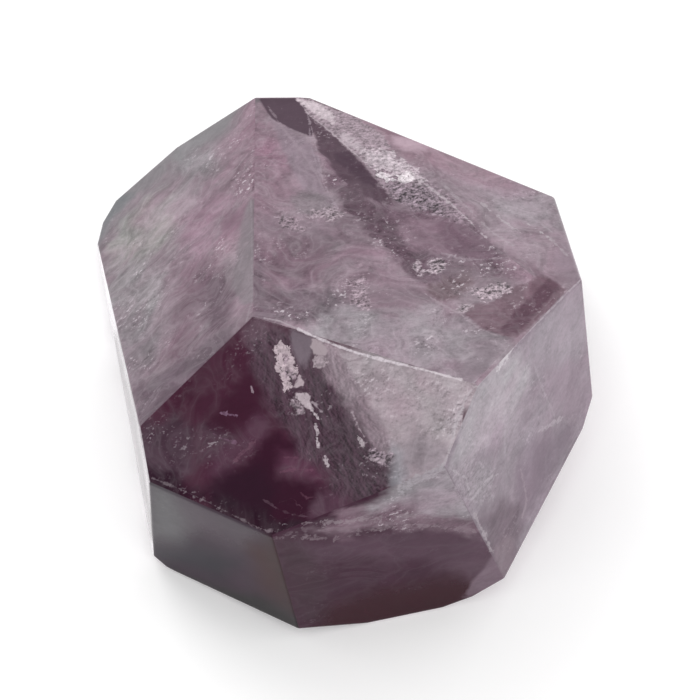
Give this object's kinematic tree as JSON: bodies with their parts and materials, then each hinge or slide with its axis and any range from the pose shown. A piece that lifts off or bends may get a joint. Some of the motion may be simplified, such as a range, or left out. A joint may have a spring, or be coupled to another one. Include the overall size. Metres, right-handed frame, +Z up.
{
  "type": "polished fluorite stone",
  "caption": "Free-form fluorite stone ground to flat polished facets with rounded edges, standing on a flat base and sloping down from a high front corner.",
  "frame": {"origin": "middle of the stone's footprint, on the surface it rests on", "axes": "+Z up from the flat base, +X to the right of the front walls, +Y towards the low back edge"},
  "size_m": [0.07, 0.0796, 0.0403],
  "materials": {
    "fluorite": "polished translucent purple and grey fluorite with cloudy veils"
  },
  "bodies": {
    "root": {"fluorite_stone": "fluorite"}
  },
  "joints": []
}
